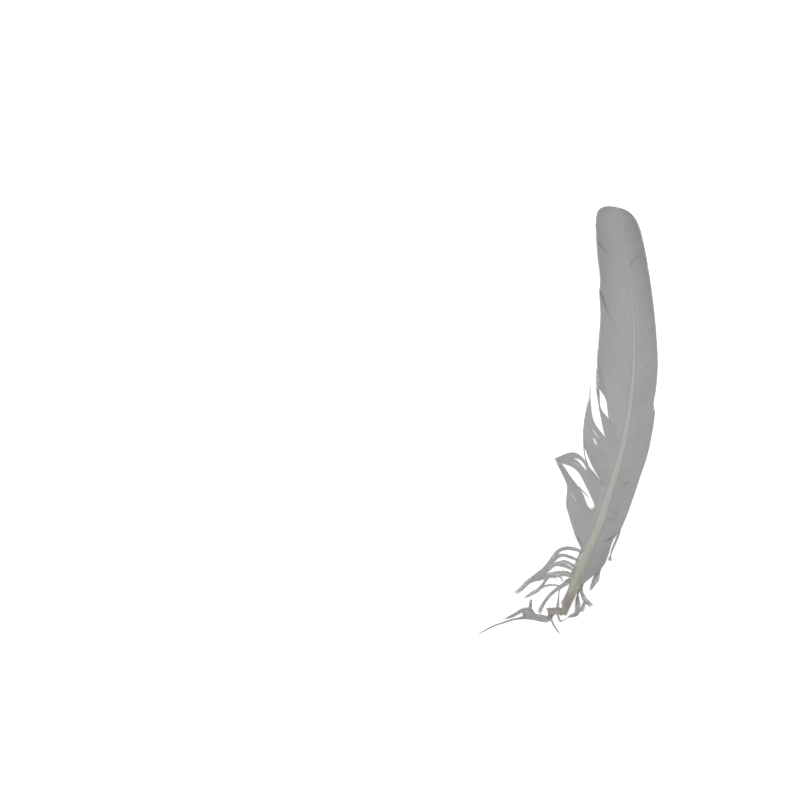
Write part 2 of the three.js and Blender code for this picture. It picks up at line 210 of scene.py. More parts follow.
LOWER_GUIDES = (
    (-46.2, (10.4, -43.3), (6.9, -35.4), (0.8, -27.0)),
    (-48.6, (9.1, -42.6), (4.1, -34.1), (-3.8, -20.4)),
    (-50.5, (8.1, -43.1), (1.9, -34.1), (-6.2, -19.9)),
    (-52.0, (8.6, -46.1), (2.2, -37.9), (-2.6, -26.0)),
    (-53.6, (9.1, -49.1), (2.6, -41.6), (-0.9, -30.4)),
    (-55.2, (8.8, -51.2), (2.5, -44.8), (-0.6, -35.4)),
    (-58.3, (8.4, -54.6), (2.7, -49.6), (-1.1, -41.7)),
    (-60.1, (8.1, -57.1), (3.6, -53.1), (-0.1, -45.6)),
    (-62.4, (7.7, -60.4), (5.0, -57.8), (2.0, -53.1)),
    (-64.2, (7.7, -62.6), (6.0, -60.7), (3.6, -58.0)),
    (-65.6, (7.7, -64.2), (6.7, -62.8), (5.1, -61.3)),
    (-67.0, (7.6, -66.0), (7.0, -65.0), (6.4, -63.8)),
)
# Stumps of barbs that are broken off between the last two locks.
BROKEN_GUIDES = (
    (-44.6, (14.9, -43.3), (14.3, -42.4), (13.8, -41.7)),
    (-47.4, (13.8, -46.1), (12.4, -45.2), (11.1, -44.3)),
)

# Where the barbs of a lock have come apart: the y at the shaft, the parts of a barb's
# length from and to which the parting runs, how wide it opens, how far the barbs above it
# stand over those below, and how dark the painted shade is in the fold where they overlap.
# One that ends at 1 stays open.
OUTER_PARTINGS = (
    (75.2, 0.06, 0.8, 0, 0.12, 0.24),
    (-8.5, 0.86, 1, 0.1, 0.06, 0.06),
    (-33.1, 0.18, 0.46, 0, 0.1, 0.32),
    (-46.3, 0.18, 0.44, 0, 0.1, 0.32),
    (-49.5, 0.1, 0.38, 0, 0.08, 0.24),
    (-59.2, 0.19, 0.7, 0, 0.14, 0.5),
)
INNER_PARTINGS = (
    (70.4, 0.4, 1, 0, 0.12, 0.25),
    (29.2, 0.58, 1, 0, 0.25, 0.36),
    (-1.2, 0.74, 1, 0, 0.1, 0.16),
    (-3.2, 0.7, 1, 0, 0.12, 0.24),
    (-5.4, 0.6, 0.86, 0, 0.1, 0.2),
)
THREAD_PARTINGS = (
    (-7.4, 0.16, 0.4, 0, 0.1, 0.3),
)
UPPER_PARTINGS = (
    (-15.7, 0.1, 0.37, 0, 0.1, 0.28),
    (-19.5, 0.51, 0.62, 0.6, 0, 0),
    (-22.9, 0.47, 0.57, 1.7, 0, 0),
    (-24.3, 0.26, 0.44, 0, 0.08, 0.18),
)
HOOKED_PARTINGS = (
    (-34.9, 0.1, 0.36, 0, 0.1, 0.3),
    (-38.0, 0.42, 0.7, 1.5, 0, 0),
    (-41.4, 0.64, 0.74, 0.2, 0, 0),
)
LOWER_PARTINGS = (
    (-51.5, 0.59, 0.67, 0.8, 0, 0),
    (-50.6, 0.34, 0.56, 0, 0.08, 0.12),
)

BARB_RINGS = 15
BARB_TIP = 1.1              # the length over which a barb narrows at its end
BARB_TIP_WIDTH = 0.5        # as a part of the barb's width
BARB_BEND = 1.3             # a barb's length, as a part of the straight way to its end
ROOT_INSIDE = 0.8           # how far out in the shaft a barb starts, of its half width
ROOT_HEIGHT = 0.6           # above the shaft's middle, of its half depth
TIP_ROOT_HEIGHT = 0.95      # the same near the tip
ROOTS_RISE = (20, 90)       # from where to where they go from the one to the other
SHEET_HALF_THICKNESS = 0.25
DROOP = 1.7                 # power of the fall from the shaft to the margin
FALL_LENGTH = 11            # a barb shorter than this ends above the table
RIPPLE_END = 1.2            # part of a barb's length at which its ripple would be nothing
SHINGLE = 0.024             # how far a barb's upper edge stands over the next one
PARTING_REACH = 2.0
PARTING_ROUNDNESS = 0.6     # power: the lower it is, the blunter the ends of a parting
PARTING_OPENS = 0.7         # part of an open parting over which it reaches its full width
CREASE_REACH = 0.35
LEAST_SPREAD = 0.15         # of the barbs at a parting, as a part of that at their roots
LOWEST = 0.03               # above the table

# Unevenness of the barbs: how much of it, and the y over which it turns.
SHORTENING = (0.005, 2.5)   # as a part of a barb's length
CLUMPS = ((0.1, 1.3), (0.25, 5.0))
RIPPLES = ((1, 7.0), (0.5, 2.2))    # as parts of the ripple setting
TONE_DRIFTS = ((0.015, 1.5), (0.015, 6.0), (0.01, 20.0))
# And how much each barb differs from its neighbours.
RAGGEDNESS = 0.007          # as a part of a barb's length
STRAYING = 0.03
TONE_SCATTER = 0.014

# How light a barb is along its length, from the shaft to the margin.
TONE_PLACES = (0, 0.04, 0.12, 0.3, 0.45, 0.6, 0.75, 0.86, 0.95, 1)
OUTER_TONES = (1.11, 1.1, 1.07, 1.06, 1.07, 1.08, 1.08, 1.06, 1.03, 0.98)
INNER_TONES = (1.11, 1.09, 1.07, 1.06, 1.02, 0.98, 0.93, 0.89, 0.86, 0.83)
LOCK_TONES = (1.12, 1.08, 1.01, 1.0, 1.0, 1.0, 0.99, 0.98, 0.96, 0.93)
# How much darker the outer vane is painted at the margin of its tip, at its foot, and beside
# the lower shaft: painted shade of the light from the upper left on the curving vane, and
# the shaft's painted shadow beside it. Each shade comes on from the first y of its pair to
# the second.
TIP_PAINTED_SHADE = 0.26
TIP_SHADED = (-5, 90)
TIP_SHADE_POWER = 1.4
TIP_MARGIN = (0.1, 0.9)     # the same along a barb, as parts of its length
FOOT_PAINTED_SHADE = 0.13
FOOT_SHADED = (-44, -80)
SHAFT_PAINTED_SHADOW = 0.06
ROOT_SHADED = (-5, -35)
ROOT_SHADE_ENDS = (-48, -62)        # between these it goes again
ROOT_SHADE_WIDTH = (0.1, 0.6)       # and between these parts of a barb's length
BROWN_TIP = (30, 85)        # the ys between which the barbs turn browner

# Barbs that have come out of the locks: x, y and half width of their route.
THREAD_STRAYS = (
    ((15.2, 12.9, 0.75), (15.0, 15.4, 0.75), (14.8, 17.4, 0.6), (14.6, 20.4, 0.45),
     (14.5, 23.4, 0.35), (14.2, 26.9, 0.15)),
)
UPPER_STRAYS = (
    ((7.9, -10.2, 0.3), (8.0, -12.6, 0.3), (8.2, -15.4, 0.32), (8.7, -18.1, 0.32),
     (9.4, -20.6, 0.32), (10.4, -23.1, 0.32), (12.0, -25.6, 0.2)),
    ((11.0, 12.4, 0.35), (11.1, 14.6, 0.3), (11.4, 16.6, 0.16), (11.8, 18.6, 0.08)),
)
HOOKED_STRAYS = (
    ((-3.6, -18.9, 0.9), (-5.4, -19.2, 0.8), (-6.7, -19.4, 0.35)),
)
LOWER_STRAYS = (
    ((5.4, -32.8, 0.2), (7.4, -35.0, 0.27), (9.0, -36.7, 0.27), (11.2, -39.0, 0.15)),
    ((-3.4, -22.4, 0.2), (-2.2, -23.6, 0.22), (-1.0, -25.4, 0.2), (0.3, -27.2, 0.15)),
)

Lock = namedtuple("Lock", "node side guides partings strays tones seed")
LOCKS = (
    Lock("outer_vane", 1, OUTER_GUIDES, OUTER_PARTINGS, (), OUTER_TONES, 11),
    Lock("inner_vane", -1, INNER_GUIDES, INNER_PARTINGS, (), INNER_TONES, 12),
    Lock("inner_lock_thread", -1, THREAD_GUIDES, THREAD_PARTINGS, THREAD_STRAYS,
         LOCK_TONES, 13),
    Lock("inner_lock_upper", -1, UPPER_GUIDES, UPPER_PARTINGS, UPPER_STRAYS, LOCK_TONES,
         14),
    Lock("inner_lock_hooked", -1, HOOKED_GUIDES, HOOKED_PARTINGS, HOOKED_STRAYS,
         LOCK_TONES, 15),
    Lock("inner_lock_lower", -1, LOWER_GUIDES, LOWER_PARTINGS, LOWER_STRAYS, LOCK_TONES,
         16),
)
BROKEN_BARBS = Lock("inner_lock_lower", -1, BROKEN_GUIDES, (), (), LOCK_TONES, 17)

# ---------------------------------------------------------- loose barbs, down

# Bundles of fibres: x, y and half width of each along its way from its root.
MARGIN_BARB = (
    ((26.3, -53.6, 0.3), (26.0, -55.4, 0.4), (24.9, -58.2, 0.55), (23.1, -62.5, 0.6),
     (21.9, -65.3, 0.45), (21.4, -67.4, 0.35), (21.1, -68.7, 0.7), (21.1, -69.7, 0.85),
     (21.1, -70.4, 0.7)),
)
BASE_TUFT = (
    ((16.2, -72.6, 0.9), (15.4, -74.9, 1.05), (14.9, -77.2, 1.15), (14.4, -79.4, 1.15),
     (13.2, -81.5, 0.95), (12.0, -83.4, 0.65), (10.8, -84.9, 0.3)),
    ((14.8, -75.6, 0.4), (13.3, -78.3, 0.45), (12.3, -80.8, 0.45), (11.2, -83.8, 0.35)),
)
DOWN_FAN = (
    ((7.4, -65.9, 0.6), (5.4, -64.8, 0.7), (3.1, -64.1, 0.85), (-0.4, -63.75, 0.9),
     (-3.6, -64.4, 0.85), (-5.8, -66.2, 0.95), (-8.0, -69.6, 1.0), (-10.7, -73.3, 1.2),
     (-13.8, -76.2, 1.2), (-16.9, -78.5, 1.2), (-20.2, -80.9, 1.15), (-22.9, -83.6, 1.1),
     (-24.8, -85.4, 1.0), (-27.0, -86.0, 0.6)),
    ((6.2, -71.0, 0.5), (3.8, -69.2, 0.65), (1.1, -68.15, 0.75), (-1.9, -67.25, 0.8),
     (-4.5, -67.6, 0.85), (-6.6, -69.2, 1.0), (-8.9, -71.8, 1.0), (-10.6, -73.9, 0.8),
     (-13.9, -76.6, 0.75)),
    ((4.9, -74.0, 0.5), (2.9, -72.6, 0.75), (1.1, -71.5, 0.75), (-1.4, -70.5, 0.85),
     (-3.9, -70.9, 0.8), (-6.1, -71.6, 0.75), (-9.1, -74.3, 0.7), (-11.9, -76.0, 0.7),
     (-14.9, -77.5, 0.7)),
    ((4.0, -75.6, 0.5), (1.9, -74.1, 0.7), (-0.4, -73.1, 0.7), (-2.9, -72.5, 0.65),
     (-5.9, -72.2, 0.55), (-9.3, -74.0, 0.5), (-11.6, -76.3, 0.6), (-14.2, -77.9, 0.6)),
    ((1.8, -73.6, 0.25), (-0.6, -72.2, 0.3), (-2.6, -71.5, 0.3), (-4.6, -71.4, 0.25)),
    ((3.0, -77.6, 0.95), (1.2, -77.0, 1.1), (-1.6, -76.3, 1.3), (-4.9, -76.7, 1.5),
     (-8.4, -77.1, 1.35), (-11.4, -77.9, 1.2), (-14.9, -79.0, 1.05), (-17.9, -80.0, 0.8),
     (-20.9, -81.6, 0.6)),
    ((-8.4, -77.1, 0.5), (-11.3, -80.1, 0.65), (-12.8, -82.2, 0.75), (-15.0, -84.7, 0.9),
     (-17.6, -86.2, 0.9), (-19.9, -87.5, 0.65), (-21.7, -88.5, 0.45)),
    ((2.6, -79.2, 0.5), (0.6, -79.2, 0.45), (-0.9, -79.8, 0.4), (-1.9, -80.6, 0.3)),
    ((-5.9, -77.4, 0.35), (-4.1, -77.9, 0.35), (-3.1, -79.1, 0.4), (-2.6, -80.6, 0.4)),
    ((-7.9, -78.1, 0.18), (-6.1, -78.9, 0.2), (-4.6, -80.5, 0.18)),
    ((-7.6, -71.0, 0.8), (-9.7, -73.0, 1.0), (-12.1, -75.2, 1.3), (-14.9, -77.3, 1.4),
     (-17.6, -79.4, 1.1)),
    ((7.2, -64.1, 0.5), (5.5, -68.1, 0.65), (3.9, -72.1, 0.65), (2.2, -76.1, 0.65),
     (0.7, -79.1, 0.5)),
)
DOWN_SIDE = (
    ((1.9, -79.8, 0.9), (-1.1, -81.3, 1.0), (-2.9, -82.6, 1.0), (-5.1, -84.0, 0.9),
     (-8.4, -86.7, 0.8), (-11.1, -89.8, 0.8), (-13.0, -92.9, 0.86), (-13.9, -95.1, 1.1),
     (-14.3, -98.0, 1.2)),
    ((-3.5, -82.9, 0.4), (-6.0, -82.2, 0.5), (-9.4, -82.2, 0.5), (-12.1, -83.0, 0.5),
     (-14.1, -84.3, 0.45)),
    ((-3.6, -82.9, 0.25), (-4.2, -85.1, 0.3), (-4.6, -87.7, 0.32), (-4.9, -90.6, 0.5),
     (-5.1, -92.6, 0.8), (-5.2, -94.0, 0.5)),
    ((-1.0, -86.4, 0.3), (-1.6, -88.6, 0.45), (-2.9, -90.9, 0.5), (-2.4, -92.1, 0.3)),
)
DOWN_END = (
    ((-8.6, -95.8, 1.0), (-8.6, -97.6, 1.4), (-10.8, -99.6, 1.2), (-15.2, -99.2, 0.8),
     (-18.3, -98.5, 0.9), (-21.5, -98.3, 0.9), (-24.5, -98.8, 0.55), (-27.9, -99.5, 0.45),
     (-31.9, -100.8, 0.4), (-36.6, -102.4, 0.37), (-41.2, -104.7, 0.33),
     (-44.7, -106.8, 0.28)),
    ((-9.4, -98.8, 0.6), (-12.4, -98.1, 1.0), (-15.4, -97.9, 1.1), (-17.0, -97.4, 1.35),
     (-18.7, -96.2, 1.9), (-20.9, -94.9, 1.5), (-23.2, -95.0, 0.95), (-25.6, -96.4, 0.8),
     (-28.0, -97.7, 0.75), (-32.2, -99.4, 0.5)),
    ((-22.8, -96.8, 0.5), (-19.5, -96.6, 1.0), (-16.5, -97.4, 0.8), (-13.5, -98.3, 0.6)),
    ((-19.2, -95.1, 1.1), (-18.6, -92.3, 0.8), (-18.4, -89.2, 0.5)),
    ((-8.6, -98.6, 0.5), (-7.9, -100.3, 0.5), (-6.9, -102.4, 0.42), (-5.4, -104.6, 0.38),
     (-4.2, -106.6, 0.26)),
    ((-5.1, -96.1, 0.35), (-4.7, -97.9, 0.5), (-4.3, -99.8, 0.6), (-2.8, -99.9, 0.3),
     (-1.2, -99.4, 0.15)),
)
DOWN_RIGHT_UPPER = (
    ((7.2, -81.2, 0.7), (6.7, -83.6, 0.65), (7.0, -85.9, 0.75), (8.4, -89.1, 1.15),
     (10.5, -91.2, 1.2), (12.5, -93.3, 0.95)),
    ((8.9, -89.8, 0.5), (8.0, -91.8, 0.9), (7.4, -94.0, 0.9), (7.0, -95.8, 0.6)),
)
DOWN_RIGHT_LOWER = (
    ((5.5, -83.4, 0.6), (5.2, -85.3, 0.5), (4.9, -87.0, 0.3), (4.9, -88.8, 0.85),
     (5.0, -91.5, 1.2), (5.0, -94.7, 1.4), (3.8, -96.8, 1.1), (1.4, -97.6, 0.6),
     (-0.2, -98.3, 0.25)),
    ((1.6, -97.6, 0.15), (-0.4, -98.6, 0.15), (-2.1, -99.3, 0.15)),
)

Tuft = namedtuple("Tuft", "node bundles seed tone", defaults=(1.0,))
LOOSE_BARBS = (
    Tuft("outer_loose_barb", MARGIN_BARB, 21),
    Tuft("outer_base_tuft", BASE_TUFT, 22),
)
DOWN_TUFTS = (
    Tuft("down_fan", DOWN_FAN, 31),
    Tuft("down_side", DOWN_SIDE, 32),
    Tuft("down_end", DOWN_END, 33, 0.9),
    Tuft("down_right_upper", DOWN_RIGHT_UPPER, 34),
    Tuft("down_right_lower", DOWN_RIGHT_LOWER, 35, 0.82),
)
STRAND_HEIGHT = 1.6         # of a loose barb's underside, where it grows from the quill
STRAND_REACH = 6            # how far out from the quill it has sunk to the table
STRAND_HALF_DEPTH = 0.3     # at most, where a strand is wide and flat
STRAY_PAINTED_LIGHT = 1.7            # painted light: a stray barb is made as light as down, against the shade on its thin fibres

FIBRE_RINGS = 24
FEWEST_FIBRES = 3           # in a bundle
FIBRE_ROOTS = 0.03          # part of a bundle over which its fibres start
FIBRE_ENDS = 0.15           # and over which they end
FIBRE_WANDERS = ((0.2, 3), (0.08, 9))   # parts of a bundle's half width, and turns
WANDER_STEP = 0.8           # in turns
FIBRE_TAPER = 9             # a fibre narrows over its length divided by this
FIBRE_TIP = 0.4             # as a part of its thickness
FIBRE_TONES = 0.03          # how much fibres differ
FIBRE_GRAIN = 10            # length of the grain map along a fibre
# Where a fibre lies in the depth of its bundle, from 0 at its underside to 1.
BUNDLE_ROOM = 0.8           # part of the bundle's depth that is given to its fibres
LAYER_MIDDLE = 0.35
LAYER_WANDER = (0.3, 3, 0.7)        # how much, how many turns, and the step in turns
LAYER_SCATTER = 0.25

# Ranges within which each of a bundle's finest hairs is drawn.
BARBULE_TURN = (15, 60)     # off the bundle's way, in degrees
BARBULE_ROOT = (-0.6, 0.9)  # out from the bundle's middle, of its half width
BARBULE_REACH = (0.3, 1)    # of the barbule length
BARBULE_BEND = (-0.15, 0.15)        # of the barbule's own length
BARBULE_RISE = (0.05, 0.9)  # above the bundle's underside, of its depth
BARBULE_SINKS = 0.4         # part of its rise that it loses on its way out
BARBULE_TONES = 0.05        # how much barbules differ
SHORT_BARBULES = 0.35       # part of their length that they keep on the thinnest bundles
BARBULE_CROWD = 0.5         # added to a bundle's half width where its hairs are counted

# ------------------------------------------------------------------ the stage

LAMP_PLACE = (-0.9, 0.9, 1.7)       # in metres
SENSOR_WIDTH = 36


# ------------------------------------------------------------------- settings


def length_setting(name, description, default):
    return FloatProperty(name=name, description=description, default=default,
                         min=0, precision=5, unit="LENGTH")


def colour_setting(name, description, default):
    return FloatVectorProperty(name=name, description=description, default=default,
                               min=0, max=1, subtype="COLOR")


class QuillShaftSettings(PropertyGroup):
    wall: length_setting("Wall", "Thickness of the quill's wall", 0.00035)
    hollow: length_setting("Hollow", "How deep the torn end is open", 0.012)
    raggedness: length_setting("Raggedness", "Unevenness of the torn edges", 0.0004)
    tip_colour: colour_setting("Tip colour", "Ridged shaft near the tip", (0.352, 0.35, 0.34))
    horn_colour: colour_setting("Horn colour", "Ridged shaft", (0.385, 0.39, 0.36))
    barrel_colour: colour_setting("Barrel colour", "Quill", (0.328, 0.33, 0.274))
    end_colour: colour_setting("End colour", "Torn end of the quill", (0.275, 0.265, 0.235))
    stain_colour: colour_setting("Stain colour", "Old stains on the quill",
                                 (0.22, 0.175, 0.15))
    mould_colour: colour_setting("Mould colour", "Greenish stains on the quill",
                                 (0.25, 0.265, 0.2))


class QuillVaneSettings(PropertyGroup):
    spacing: length_setting("Barb spacing", "From one barb to the next", 0.00045)
    relief: length_setting("Relief", "Height of a barb's ridge over its edges", 0.00006)
    ripple: length_setting("Ripple", "Waviness of the vane across its barbs", 0.00015)
    margin_height: length_setting("Margin height", "Height of the margin", 0.00015)
    overlap: FloatProperty(name="Overlap", default=1.15, min=1, max=2,
                           description="Width of a barb as a part of the barb spacing")
    colour: colour_setting("Barb colour", "Barbs of the vanes", (0.34, 0.34, 0.34))
    tip_colour: colour_setting("Tip colour", "Browner barbs at the tip", (0.317, 0.316, 0.31))


class QuillDownSettings(PropertyGroup):
    fibre_spacing: length_setting("Fibre spacing", "From one fibre to the next", 0.00009)
    fibre_radius: length_setting("Fibre radius", "Half the thickness of a fibre", 0.000085)
    barbule_length: length_setting("Barbule length", "Length of the finest hairs", 0.0009)
    barbule_radius: length_setting("Barbule radius", "Their half thickness", 0.000018)
    barbules: FloatProperty(name="Barbules", default=9, min=0,
                            description="Hairs on a bundle 1 mm wide, for each millimetre")
    fullness: FloatProperty(name="Fullness", default=1.15, min=0.2,
                            description="Width of the bundles, as a part of their own")
    # Lighter than the barbs' colour: painted light that offsets the shade the fine fibres cast
    # on one another.
    colour: colour_setting("Down colour", "Down and loose barbs", (0.535, 0.533, 0.526))


class QuillStageSettings(PropertyGroup):
    view_width: length_setting("View width", "Width of the table in the picture", 0.4)
    view_x: FloatProperty(name="View X", description="Middle of the picture", unit="LENGTH",
                          default=-0.083875, precision=5)
    view_y: FloatProperty(name="View Y", description="Middle of the picture", unit="LENGTH",
                          default=0.010375, precision=5)
    lens: FloatProperty(name="Lens", description="Focal length in millimetres", default=200)
    floor_size: length_setting("Floor size", "Side of the table top", 6.0)
    floor_colour: colour_setting("Floor colour", "Table top", (0.95, 0.95, 0.95))
    floor_glow: FloatProperty(name="Floor glow", default=0.5,
                              description="Light that comes up through the table top")
    lamp_power: FloatProperty(name="Lamp power", description="Soft box", default=18,
                              unit="POWER")
    lamp_size: length_setting("Lamp size", "Side of the soft box", 1.6)
    sky: FloatProperty(name="Sky", description="Strength of the light all round",
                       default=0.77)


# ------------------------------------------------------------ curves and noise


def spline(points, place):
    """Smooth centripetal curves through points, read at places from 0 to the last point.

    The first axis of points runs along the curves, the last is the coordinates, and an axis
    between them gives each place a curve of its own.
    """
    points = np.asarray(points, float)
    if points.ndim == 2:
        points = points[:, None, :]
    padded = np.concatenate([2 * points[:1] - points[1:2], points,
                             2 * points[-1:] - points[-2:-1]])
    entry = np.clip(np.floor(place), 0, len(points) - 2).astype(int)
    curve = np.arange(len(place)) % points.shape[1]
    p0, p1, p2, p3 = (padded[entry + step, curve] for step in range(4))

    def knot(a, b):
        return np.maximum(np.linalg.norm(b - a, axis=1), 1e-6)[:, None] ** 0.5

    d0, d1, d2 = knot(p0, p1), knot(p1, p2), knot(p2, p3)
    out = ((p1 - p0) / d0 - (p2 - p0) / (d0 + d1) + (p2 - p1) / d1) * d1
    back = ((p2 - p1) / d1 - (p3 - p1) / (d1 + d2) + (p3 - p2) / d2) * d1
    t = (place - entry)[:, None]
    return (p1 + out * t + (3 * (p2 - p1) - 2 * out - back) * t ** 2
            + (2 * (p1 - p2) + out + back) * t ** 3)


def smooth(value, low, high):
    """0 up to low, 1 from high on, and an even slope between them. Low may be the higher."""
    part = np.clip((value - low) / (high - low), 0, 1)
    return part * part * (3 - 2 * part)


def drift(rng, places, step):
    """Smooth random values between -1 and 1 that turn about once every step of places."""
    start = np.min(places)
    knots = rng.uniform(-1, 1, int((np.max(places) - start) / step) + 3)
    at = (places - start) / step
    entry = at.astype(int)
    part = smooth(at - entry, 0, 1)
    return knots[entry] * (1 - part) + knots[entry + 1] * part


def drifts(rng, places, waves):
    """Several drifts together, each given by its height and its step."""
    return sum(height * drift(rng, places, step) for height, step in waves)


SHAFT_LINE = spline(SHAFT_STATIONS, np.linspace(0, len(SHAFT_STATIONS) - 1, LINE_SAMPLES))


def shaft_at(y):
    """x, half width, half depth and lift of the shaft at y."""
    return (np.interp(y, SHAFT_LINE[:, 1], SHAFT_LINE[:, column]) for column in (0, 2, 3, 4))


# ------------------------------------------------------------- making a piece

Batch = namedtuple("Batch", "template places tone grain")


def rod(sides, rings):
    """An upright rod of unit radius and height, with rings along it and closed ends."""
    bm = bmesh.new()
    bmesh.ops.create_cone(bm, cap_ends=True, segments=sides, radius1=1, radius2=1, depth=1)
    uprights = [edge for edge in bm.edges
                if abs(edge.verts[0].co.z - edge.verts[1].co.z) > 0.5]
    bmesh.ops.subdivide_edges(bm, edges=uprights, cuts=rings - 1, use_grid_fill=True)
    return bm


def sort_faces(bm):
    """Puts the faces in the order of their vertices. Solidify adds its rim in any order."""
    bm.verts.index_update()

    def order(face):
        numbers = [vertex.index for vertex in face.verts]
        return min(numbers) * len(bm.verts) + max(numbers)

    bm.faces.sort(key=order)


def keep_mesh(bm, name):
    """Turns a finished bmesh into a mesh."""
    mesh = bpy.data.meshes.new(name)
    bm.to_mesh(mesh)
    bm.free()
    return mesh


def corners(mesh):
    """The place of each vertex of a mesh."""
    places = np.empty(len(mesh.vertices) * 3)
    mesh.vertices.foreach_get("co", places)
    return places.reshape(-1, 3)


def grow(node, batches, material, flat=False):
    """One piece from batches of like shapes. A batch holds a template, the place of each of
    its vertices in each copy, how light each is, and where it is on the grain."""
    bm = bmesh.new()
    for batch in batches:
        for _ in range(len(batch.places)):
            bm.from_mesh(batch.template)
    mesh = keep_mesh(bm, node + "_mesh")
    places = np.concatenate([batch.places.reshape(-1, 3) for batch in batches]) * MM
    mesh.vertices.foreach_set("co", places.ravel())
    tone = mesh.attributes.new("tone", "FLOAT", "POINT")
    tone.data.foreach_set("value", np.concatenate([b.tone.ravel() for b in batches]))
    grain = np.concatenate([batch.grain.reshape(-1, 2) for batch in batches])
    corner_vertex = np.empty(len(mesh.loops), int)
    mesh.loops.foreach_get("vertex_index", corner_vertex)
    grain_map = mesh.uv_layers.new(name="grain")
    grain_map.data.foreach_set("uv", grain[corner_vertex].ravel())
    mesh.polygons.foreach_set("use_smooth", np.full(len(mesh.polygons), not flat))
    mesh.update()
    for template in {batch.template for batch in batches}:
        bpy.data.meshes.remove(template)
    mesh.materials.append(material)
    return place_piece(node, mesh)


def place_piece(node, mesh):
    """Shows a mesh in place of a solid."""
    piece = bpy.data.objects.new(node + "_piece", mesh)
    bpy.context.scene.collection.objects.link(piece)
    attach(piece, BODY)
    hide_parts(node)
    return piece


# ------------------------------------------------------------------ materials


class Finish:
    """A procedural material, put together node by node."""

    def __init__(self, name):
        self.material = bpy.data.materials.get(name) or bpy.data.materials.new(name)
        self.material.use_nodes = True
        self.tree = self.material.node_tree
        self.tree.nodes.clear()
        self.shader = self.tree.nodes.new("ShaderNodeBsdfPrincipled")
        output = self.tree.nodes.new("ShaderNodeOutputMaterial")
        self.tree.links.new(self.shader.outputs["BSDF"], output.inputs["Surface"])

    def add(self, kind, inputs=(), **settings):
        """A new node. Each input is given a number or colour, or another node's output."""
        node = self.tree.nodes.new(kind)
        for name, value in settings.items():
            setattr(node, name, value)
        for key, value in dict(inputs).items():
            self.feed(node, key, value)
        return node

    def feed(self, node, key, value):
        if isinstance(value, bpy.types.NodeSocket):
            self.tree.links.new(value, node.inputs[key])
        else:
            node.inputs[key].default_value = value

    def object_place(self):
        return self.add("ShaderNodeTexCoord").outputs["Object"]

    def grain_place(self):
        return self.add("ShaderNodeUVMap", uv_map="grain").outputs["UV"]

    def stretched(self, place, scale):
        return self.add("ShaderNodeMapping", {"Vector": place, "Scale": scale}).outputs[0]

    def noise(self, place, scale, detail=3.0, roughness=0.55):
        inputs = {"Vector": place, "Scale": scale, "Detail": detail, "Roughness": roughness}
        return self.add("ShaderNodeTexNoise", inputs).outputs["Fac"]

    def ranged(self, value, low, high, to_low, to_high):
        inputs = {"Value": value, "From Min": low, "From Max": high,
                  "To Min": to_low, "To Max": to_high}
        return self.add("ShaderNodeMapRange", inputs).outputs["Result"]

    def calculated(self, operation, a, b):
        return self.add("ShaderNodeMath", {0: a, 1: b}, operation=operation).outputs[0]

    def attribute(self, name):
        return self.add("ShaderNodeAttribute", attribute_name=name).outputs["Fac"]

    def mixed(self, factor, a, b):
        inputs = {0: factor, 6: a, 7: b}
        return self.add("ShaderNodeMix", inputs, data_type="RGBA").outputs[2]

    def scaled(self, colour, amount):
        inputs = {0: colour, "Scale": amount}
        return self.add("ShaderNodeVectorMath", inputs, operation="SCALE").outputs[0]

    def heights(self, place):
        """How far along the feather each place is."""
        return self.add("ShaderNodeSeparateXYZ", {0: place}).outputs["Y"]

    def turned(self, height, span, below, above):
        """One colour below a span of heights, another above it, and a slope between."""
        low, high = (end * MM for end in span)
        return self.mixed(self.ranged(height, low, high, 0.0, 1.0), below, above)

    def varied(self, tone, noise, spread, low=0.3, high=0.7):
        """A tone made lighter and darker with a noise, by spread at most."""
        change = self.ranged(noise, low, high, 1 - spread, 1 + spread)
        return self.calculated("MULTIPLY", tone, change)

    def bump(self, height, distance, strength=1.0):
        inputs = {"Height": height, "Distance": distance, "Strength": strength}
        normal = self.add("ShaderNodeBump", inputs).outputs["Normal"]
        self.feed(self.shader, "Normal", normal)

    def set(self, **values):
        for key, value in values.items():
            self.feed(self.shader, key.replace("_", " "), value)


def opaque(colour):
    return (*colour, 1.0)


def barb_finish(settings):
    """Matt grey barbs with a silky streak along them, a little browner at the tip."""
    finish = Finish("barbs")
    place = finish.object_place()
    grain = finish.grain_place()
    colour = finish.turned(finish.heights(place), BROWN_TIP, opaque(settings.colour),
                           opaque(settings.tip_colour))
    streaks = finish.noise(finish.stretched(grain, (1.6, 0.12, 1.0)), 1.0, detail=4.0)
    tone = finish.varied(finish.attribute("tone"), streaks, 0.04, 0.25, 0.75)
    tone = finish.varied(tone, finish.noise(place, 55.0), 0.02)
    waves = {"Vector": grain, "Scale": 3.0, "Distortion": 0.6, "Detail": 1.0}
    barbules = finish.add("ShaderNodeTexWave", waves, wave_type="BANDS",
                          bands_direction="DIAGONAL").outputs["Fac"]
    finish.set(Base_Color=finish.scaled(colour, tone), Roughness=0.72, Sheen_Weight=0.06,
               Specular_IOR_Level=0.25)
    finish.bump(barbules, 0.00001)
    return finish.material


def down_finish(settings):
    """Soft matted down, without gloss."""
    finish = Finish("down")
    place = finish.object_place()
    tone = finish.varied(finish.attribute("tone"), finish.noise(place, 420.0), 0.07)
    lighter = opaque([part * 1.06 for part in settings.colour])
    clouds = finish.noise(place, 90.0, detail=2.0)
    colour = finish.mixed(clouds, opaque(settings.colour), lighter)
    finish.set(Base_Color=finish.scaled(colour, tone), Roughness=0.88, Sheen_Weight=0.1,
               Specular_IOR_Level=0.15)
    finish.bump(finish.noise(place, 2500.0, detail=2.0), 0.00002)
    return finish.material


